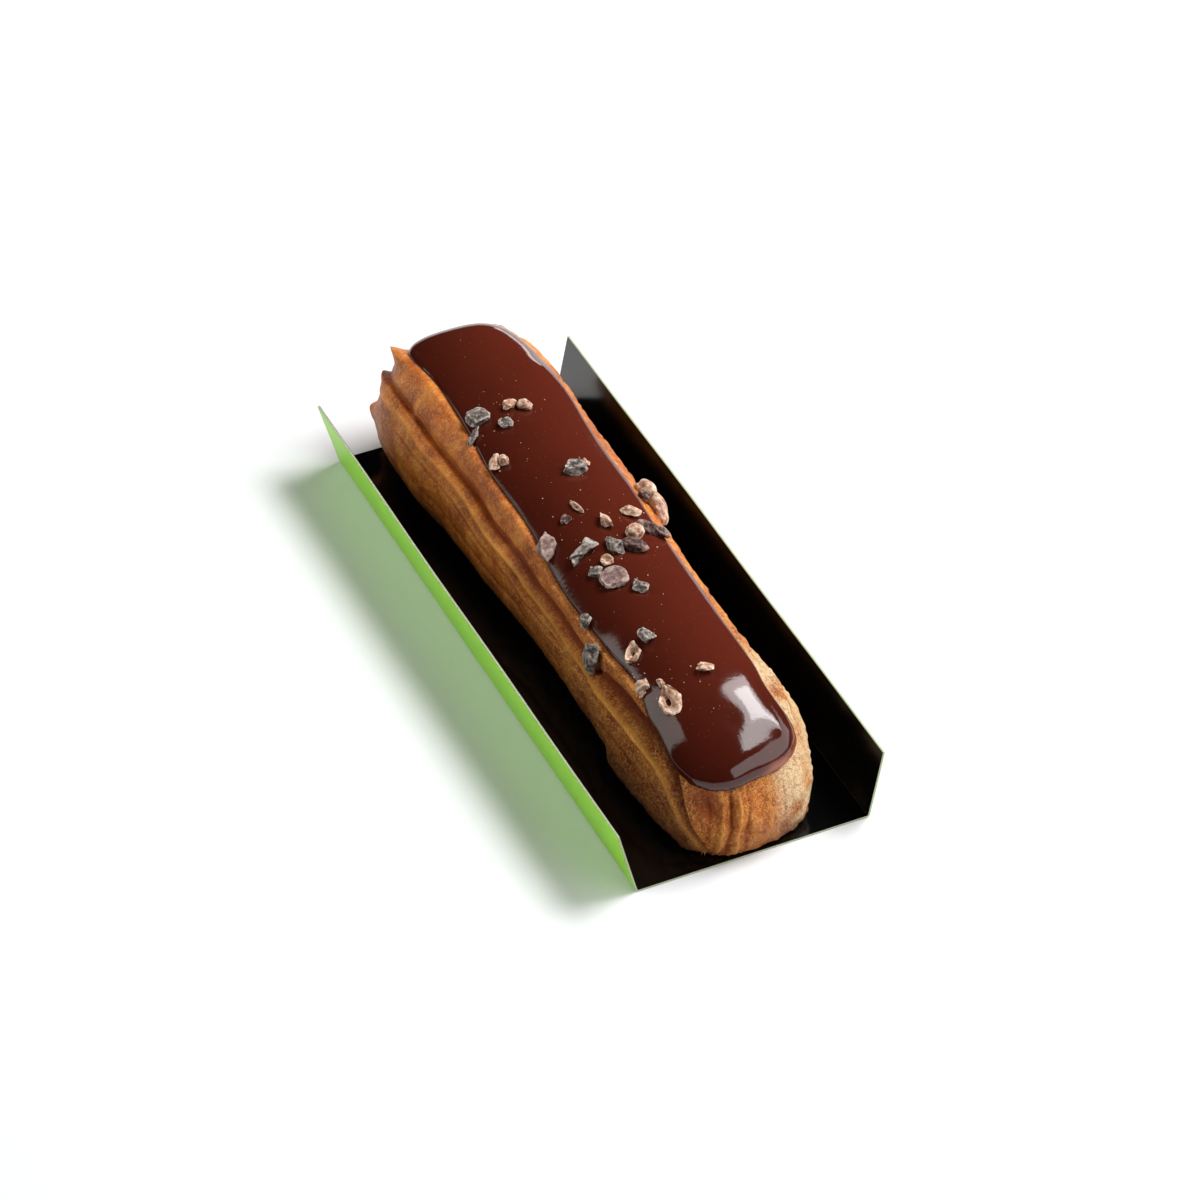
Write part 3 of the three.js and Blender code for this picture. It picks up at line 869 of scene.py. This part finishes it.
def build_nibs(surface, finishes):
    """The cocoa nibs, each set down where it is seen, as one piece for each finish."""
    ball, ball_faces = unit_ball(NIB_LEVELS)
    right, up, forward = camera_axes()[1:]
    gathered = {finish: ([], [], []) for finish in NIB_FINISHES}
    for number, nib in enumerate(NIBS):
        half_height = nib.height * NIB_SCALE / 2
        lift = NIB_SEEN_LIFT * half_height * FOCAL / CAMERA_DISTANCE
        place, normal = seat_on(surface, *line_of_sight(nib.across, nib.down + lift))
        points, wear_and_hollow_shade = broken_lump(ball, ball_faces, nib, NIB_SEED + NIB_SEED_STEP * number)
        heading = math.cos(math.radians(nib.turn)) * right + math.sin(math.radians(nib.turn)) * up
        lean = CUP_LEAN if nib.shape == "cup" else 0
        axis_z = (normal.normalized() - forward * lean).normalized()
        axis_x = (heading - heading.dot(axis_z) * axis_z).normalized()
        axis_y = axis_z.cross(axis_x)
        turned = points @ np.array([axis_x, axis_y, axis_z])
        centre = np.array(place + axis_z * NIB_STANDS * half_height)
        held_points, held_faces, held_wear_and_shade = gathered[nib.finish]
        held_faces.append(ball_faces + len(held_points) * len(ball))
        held_points.append(turned + centre)
        held_wear_and_shade.append(wear_and_hollow_shade)
    pieces = []
    for finish, (points, faces, wear_and_hollow_shade) in gathered.items():
        made = mesh_piece(
            "nibs_" + finish, np.concatenate(points), np.concatenate(faces).tolist(), [finishes[finish]],
            {"wear_and_hollow_shade": np.concatenate(wear_and_hollow_shade)},
        )
        made.data.set_sharp_from_angle(angle=math.radians(NIB_EDGE_ANGLE))
        pieces.append(made)
    return pieces


def build_dust(surface, finish):
    """Nib dust: specks of up to 0.4 mm near the nibs, and a few finer ones over the whole icing."""
    ball, ball_faces = unit_ball(SPECK_LEVELS)
    draw = np.random.default_rng(DUST_SEED)
    spots = []
    for nib in NIBS:
        for speck in range(SPECKS_BY_NIB):
            across = nib.across + draw.normal(0, SPECK_SPREAD)
            down = nib.down + draw.normal(0, SPECK_SPREAD)
            spots.append((across, down, draw.uniform(*SPECK_SIZES)))
    for speck in range(LOOSE_SPECKS):
        share = draw.uniform(0, 1)
        across = LOOSE_START[0] + LOOSE_RUN[0] * share + draw.normal(0, LOOSE_SPREAD[0])
        down = LOOSE_START[1] + LOOSE_RUN[1] * share + draw.normal(0, LOOSE_SPREAD[1])
        spots.append((across, down, draw.uniform(*LOOSE_SIZES)))
    points = []
    faces = []
    for across, down, size in spots:
        place, normal, index, distance = surface.ray_cast(*line_of_sight(across, down))
        if place is None:
            continue
        shape = ball * draw.uniform(0.6, 1.3, 3) * size / 2
        shape *= 1 + 0.3 * crumple(shape, size=size * 0.4, seed=88)[:, None]
        faces.append(ball_faces + len(points) * len(ball))
        points.append(shape + np.array(place + normal * size * 0.2))
    return mesh_piece("nib_dust", np.concatenate(points), np.concatenate(faces).tolist(), [finish],
                      {"wear_and_hollow_shade": np.full(len(points) * len(ball), DUST_WEAR_AND_SHADE)})


# ---------------------------------------------------------------- finishes
# A pattern's Scale is how many of its spots fit in a millimetre, and a bump's Distance is in metres.

# The sockets of a Mix node that mixes colours.
SHARE, FROM, TO, MIXED = 0, 6, 7, 2


def gloss_black_card():
    """Coated card printed black under a gloss film: nearly no colour, a clean reflection of the room."""
    material, tree, place, shader = begin_finish("gloss black laminated card")
    swells = add_node(tree, "TexNoise", {"Vector": place, "Scale": 0.12, "Detail": 2.0})
    smears = add_node(tree, "TexNoise", {"Vector": place, "Scale": 0.05, "Detail": 3.0})
    ink = add_node(tree, "ValToRGB", {"Fac": smears}, stops=[(0.3, "#040404"), (0.7, "#070707")])
    rough = add_node(tree, "MapRange", {"Value": smears, "To Min": 0.1, "To Max": 0.18})
    relief = add_node(tree, "Bump", {"Height": swells, "Strength": 0.1, "Distance": 0.0002})
    feed(tree, shader, {"Base Color": ink, "Roughness": rough, "Normal": relief, "IOR": 1.5})
    return material


def gloss_green_card():
    """The same card's outer print, an even apple green under the gloss film."""
    material, tree, place, shader = begin_finish("gloss green laminated card")
    ink = add_node(tree, "TexNoise", {"Vector": place, "Scale": 0.4, "Detail": 4.0})
    print_tone = add_node(tree, "ValToRGB", {"Fac": ink}, stops=[(0.35, "#98E01C"), (0.65, "#9BE220")])
    rough = add_node(tree, "MapRange", {"Value": ink, "To Min": 0.34, "To Max": 0.4})
    feed(tree, shader, {"Base Color": print_tone, "Roughness": rough, "IOR": 1.5})
    return material


def bare_card_edge():
    """Cut pulp of the card, uncoated: a cream line with short fibres between the two printed films."""
    material, tree, place, shader = begin_finish("bare cut card edge")
    layer = add_node(tree, "Attribute", attribute_name="layer").outputs["Fac"]
    past_inside = add_node(tree, "MapRange", {"Value": layer, "From Min": 0.12, "From Max": 0.2})
    to_outside = add_node(tree, "MapRange", {"Value": layer, "From Min": 0.85, "From Max": 0.92})
    # Pulp fibres are far below 0.1 mm: they are drawn 0.4 mm apart so that they show.
    fibres = add_node(tree, "TexNoise", {"Vector": place, "Scale": 2.5, "Detail": 3.0})
    pulp = add_node(tree, "ValToRGB", {"Fac": fibres}, stops=[(0.3, "#A9AE90"), (0.7, "#C6CBAE")])
    # The inside's black film, then the pulp, then the outside's green film.
    edge = srgb("#1A1C14")
    for share, tint in ((past_inside, pulp), (to_outside, srgb("#5E8A36"))):
        tinted = add_node(tree, "Mix", {SHARE: share, FROM: edge, TO: tint}, data_type="RGBA")
        edge = tinted.outputs[MIXED]
    feed(tree, shader, {"Base Color": edge, "Roughness": 0.9})
    return material


def baked_choux():
    """Choux baked golden: tan crests, red-brown flanks, orange-brown grooves and a fine pitted skin. The
    grooves, the upper lobes and the foot of each flank also carry painted shade, and the pale right of the
    near end is partly painted key light.
    """
    material, tree, place, shader = begin_finish("baked choux crust")
    marks = {
        name: add_node(tree, "Attribute", attribute_name=name).outputs["Fac"]
        for name in ("groove", "crest", "shade", "height", "coarse", "face", "pale")
    }
    # Browned patches of about 6 mm, blisters under 1 mm and pits 1 mm apart. The skin's grain is about 0.2 mm
    # and is drawn at 0.4 mm so that it shows.
    patches = add_node(tree, "TexNoise", {"Vector": place, "Scale": 0.16, "Detail": 4.0, "Roughness": 0.6})
    mottle = add_node(tree, "TexNoise", {"Vector": place, "Scale": 1.5, "Detail": 6.0, "Roughness": 0.72})
    grain = add_node(tree, "TexNoise", {"Vector": place, "Scale": 2.8, "Detail": 3.0, "Roughness": 0.6})
    pits = add_node(tree, "TexVoronoi", {"Vector": place, "Scale": 1.1, "Randomness": 1.0})
    speckle = add_node(tree, "Math", {0: grain, 1: 0.55, 2: mottle}, operation="MULTIPLY_ADD")

    bake = add_node(tree, "ValToRGB", {"Fac": patches},
                    stops=[(0.36, "#95400B"), (0.5, "#C86617"), (0.64, "#EB9436")])
    spots = add_node(tree, "ValToRGB", {"Fac": speckle},
                     stops=[(0.68, "#853606"), (0.79, "#D06C1A"), (0.89, "#FFD08E")])
    coarse = marks["coarse"]
    spot_share = add_node(tree, "MapRange", {"Value": coarse, "From Min": 0.4, "To Min": 0.3, "To Max": 0.68})
    browned = add_node(tree, "Mix", {SHARE: spot_share, FROM: bake, TO: spots}, data_type="RGBA")

    # The tint that each mark takes, and how much of it at most. The groove tint is partly the crust's own
    # orange-brown and partly painted shade, and the shade tint is painted shade.
    tints = []
    for name, most, tint in (
        ("face", 0.45, "#E07C18"), ("crest", 0.85, "#F8AA4A"), ("shade", 0.7, "#7A360A"),
        ("groove", 0.92, "#8E3603"),
    ):
        tints.append((add_node(tree, "Math", {0: marks[name], 1: most}, operation="MULTIPLY"), tint))
    # The foot of each flank darkened with painted shade, less so at the front. Last comes the pale right of
    # the near end, partly painted key light.
    flank_foot_shade = add_node(tree, "MapRange",
                          {"Value": marks["height"], "From Min": 0.05, "From Max": 0.4,
                           "To Min": 0.85, "To Max": 0.0})
    front_foot_shade = add_node(tree, "MapRange", {"Value": marks["face"], "To Min": 1.0, "To Max": 0.5})
    # The pale of the near end's right, partly painted key light, shows most on the grain's light specks.
    pale_grain = add_node(tree, "MapRange",
                          {"Value": speckle, "From Min": 0.66, "From Max": 0.84, "To Min": 0.45})
    for part, whole, tint in ((flank_foot_shade, front_foot_shade, "#5E2604"), (marks["pale"], pale_grain, "#FFE0B0")):
        tints.append((add_node(tree, "Math", {0: part, 1: whole}, operation="MULTIPLY"), tint))
    skin = browned.outputs[MIXED]
    for share, tint in tints:
        tinted = add_node(tree, "Mix", {SHARE: share, FROM: skin, TO: srgb(tint)}, data_type="RGBA")
        skin = tinted.outputs[MIXED]

    from_pit = pits.outputs["Distance"]
    pit_depth = add_node(tree, "MapRange", {"Value": from_pit, "From Min": 0.0, "From Max": 0.25})
    with_pits = add_node(tree, "Math", {0: mottle, 1: pit_depth}, operation="ADD")
    skin_height = add_node(tree, "Math", {0: grain, 1: 1.1, 2: with_pits}, operation="MULTIPLY_ADD")
    relief = add_node(tree, "Bump", {"Height": skin_height, "Strength": spot_share, "Distance": 0.0013})
    rough = add_node(tree, "MapRange", {"Value": mottle, "To Min": 0.3, "To Max": 0.55})
    feed(tree, shader, {
        "Base Color": skin, "Roughness": rough, "Normal": relief, "IOR": 1.42,
        "Subsurface Weight": 0.05, "Subsurface Radius": (1.0, 0.45, 0.2), "Subsurface Scale": 0.0012,
    })
    return material


def mirror_icing():
    """Poured chocolate icing, set to a mirror: deep red-brown, nearly smooth, with a few fine specks."""
    material, tree, place, shader = begin_finish("poured chocolate icing")
    depth = add_node(tree, "TexNoise", {"Vector": place, "Scale": 0.06, "Detail": 2.0})
    deep = add_node(tree, "ValToRGB", {"Fac": depth}, stops=[(0.35, "#40150C"), (0.65, "#46180E")])
    thin = add_node(tree, "Attribute", attribute_name="thin").outputs["Fac"]
    film = add_node(tree, "Attribute", attribute_name="film").outputs["Fac"]
    # One speck of 0.1 to 0.2 mm in each patch of 1.2 mm.
    specks = add_node(tree, "TexVoronoi", {"Vector": place, "Scale": 0.85, "Randomness": 1.0})
    in_speck = add_node(tree, "MapRange",
                        {"Value": specks.outputs["Distance"], "From Min": 0.05, "From Max": 0.09,
                         "To Min": 0.45, "To Max": 0.0})
    colour = deep
    for share, tint in ((thin, "#5A2216"), (film, "#A45C42"), (in_speck, "#9A6650")):
        tinted = add_node(tree, "Mix", {SHARE: share, FROM: colour, TO: srgb(tint)}, data_type="RGBA")
        colour = tinted.outputs[MIXED]
    rough = add_node(tree, "MapRange", {"Value": depth, "To Min": 0.05, "To Max": 0.11})
    ripple = add_node(tree, "TexNoise", {"Vector": place, "Scale": 1.4, "Detail": 2.0})
    relief = add_node(tree, "Bump", {"Height": ripple, "Strength": 0.12, "Distance": 0.0001})
    feed(tree, shader, {"Base Color": colour, "Roughness": rough, "Normal": relief, "IOR": 1.5})
    return material


def roasted_nib(name, deep, middle, worn):
    """Broken roasted cocoa bean: dry and dull, darker in its creases with painted shade, dusty and paler on
    its edges.
    """
    material, tree, place, shader = begin_finish(name)
    wear_and_hollow_shade = add_node(tree, "Attribute", attribute_name="wear_and_hollow_shade").outputs["Fac"]
    blotches = add_node(tree, "TexNoise", {"Vector": place, "Scale": 1.3, "Detail": 6.0, "Roughness": 0.75})
    # Painted shade: where the mark is low, in a nib's hollows, it takes the deep colour; its worn edges take
    # the pale one.
    tone = add_node(tree, "Math", {0: wear_and_hollow_shade, 1: 0.35, 2: blotches}, operation="MULTIPLY_ADD")
    spread = add_node(tree, "MapRange", {"Value": tone, "From Min": 0.42, "From Max": 0.92})
    colour = add_node(tree, "ValToRGB", {"Fac": spread}, stops=[(0.08, deep), (0.42, middle), (0.85, worn)])
    rough = add_node(tree, "MapRange", {"Value": blotches, "To Min": 0.5, "To Max": 0.8})
    relief = add_node(tree, "Bump", {"Height": blotches, "Strength": 0.6, "Distance": 0.0004})
    feed(tree, shader, {"Base Color": colour, "Roughness": rough, "Normal": relief, "IOR": 1.45})
    return material


def matt_white_table():
    """Plain matt white table top."""
    material, tree, place, shader = begin_finish("matt white table")
    feed(tree, shader, {"Base Color": srgb("#F5F6F8"), "Roughness": 0.9, "Specular IOR Level": 0.1})
    return material


# ---------------------------------------------------------------- studio

def soft_panel(name, turn, rise, distance, wide, high, radiance, colour="#FFFFFF"):
    """A soft light panel that faces the eclair; its power gives the radiance over its area, in metres."""
    panel = bpy.data.lights.new(name, "AREA")
    panel.shape = "RECTANGLE"
    panel.size = wide
    panel.size_y = high
    panel.energy = radiance * math.pi * wide * high
    panel.color = srgb(colour)[:3]
    lamp = add_object(name, panel)
    turn = math.radians(turn)
    rise = math.radians(rise)
    away = Vector((math.cos(turn) * math.cos(rise), math.sin(turn) * math.cos(rise), math.sin(rise)))
    lamp.location = away * distance + Vector((0, 0, PANEL_AIM_HEIGHT))
    lamp.rotation_euler = away.to_track_quat("Z", "Y").to_euler()
    lamp.visible_camera = False


def build_studio():
    """The table top, the lights and the camera."""
    half = TABLE_SIDE / 2
    mesh = bpy.data.meshes.new("table_top")
    corners = [(-half, -half, 0), (half, -half, 0), (half, half, 0), (-half, half, 0)]
    mesh.from_pydata(corners, [], [(0, 1, 2, 3)])
    mesh.materials.append(matt_white_table())
    table = add_object("table_top", mesh)
    table.location.z = -TABLE_GAP

    soft_panel("key_softbox", turn=5.5, rise=55.5, distance=0.9, wide=0.65, high=0.4, radiance=7.6)
    soft_panel("key_hot_centre", turn=4.5, rise=54.5, distance=0.89, wide=0.4, high=0.24, radiance=10)
    soft_panel("left_panel", turn=155, rise=36.5, distance=1.1, wide=0.75, high=1.2, radiance=2,
               colour="#FDFFF8")
    soft_panel("front_right_panel", turn=-38, rise=26, distance=1.3, wide=2.2, high=0.8, radiance=2.3)
    soft_panel("back_right_card", turn=52, rise=3, distance=1, wide=0.24, high=0.1, radiance=3.6)

    world = bpy.data.worlds.new("dim_room")
    world.use_nodes = True
    background = world.node_tree.nodes["Background"]
    feed(world.node_tree, background, {"Color": srgb("#FFFFFF"), "Strength": ROOM_LIGHT})
    bpy.context.scene.world = world

    eye, right, up, forward = camera_axes()
    lens = bpy.data.cameras.new("camera")
    lens.lens = CAMERA_LENS
    lens.sensor_width = SENSOR
    lens.clip_end = 20  # metres
    camera = add_object("camera", lens)
    axes = Matrix((right, up, -forward)).transposed().to_4x4()
    camera.matrix_world = Matrix.Translation(eye * MM) @ axes
    bpy.context.scene.camera = camera
    bpy.context.scene.view_settings.view_transform = "Standard"


def keep_piece(piece, slot, *stands_for):
    """Says what a piece rides on and which CAD node it stands for; its slot is not used."""
    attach(piece, "root")
    if stands_for:
        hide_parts(*stands_for)


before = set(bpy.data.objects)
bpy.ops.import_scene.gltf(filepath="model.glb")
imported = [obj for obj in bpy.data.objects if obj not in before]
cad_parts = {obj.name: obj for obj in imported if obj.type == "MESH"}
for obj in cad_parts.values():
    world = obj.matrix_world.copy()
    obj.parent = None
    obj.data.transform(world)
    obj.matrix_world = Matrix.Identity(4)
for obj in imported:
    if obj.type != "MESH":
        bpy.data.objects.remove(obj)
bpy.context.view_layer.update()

card = build_card(gloss_black_card(), gloss_green_card(), bare_card_edge())
choux = build_choux(baked_choux())
icing = build_icing(mirror_icing())
carried_on = surface_tree([choux, icing])
nib_finishes = {
    "tan": roasted_nib("roasted cocoa nib, bare", "#76442F", "#BC8C72", "#F4DCC4"),
    "slate": roasted_nib("roasted cocoa nib, dusty", "#241C1A", "#625750", "#C8BBB0"),
    "dark": roasted_nib("roasted cocoa husk", "#200E0C", "#4A2A28", "#A08474"),
    "mauve": roasted_nib("roasted cocoa nib, skinned", "#503634", "#846660", "#BFA79A"),
}
nibs = build_nibs(carried_on, nib_finishes)
dust = build_dust(carried_on, nib_finishes["tan"])

keep_piece(card, "card", "folded_card")
keep_piece(choux, "baked_choux", "choux_body")
keep_piece(icing, "chocolate_icing", "chocolate_icing")
for piece in nibs + [dust]:
    keep_piece(piece, NIB_SLOT)

build_studio()
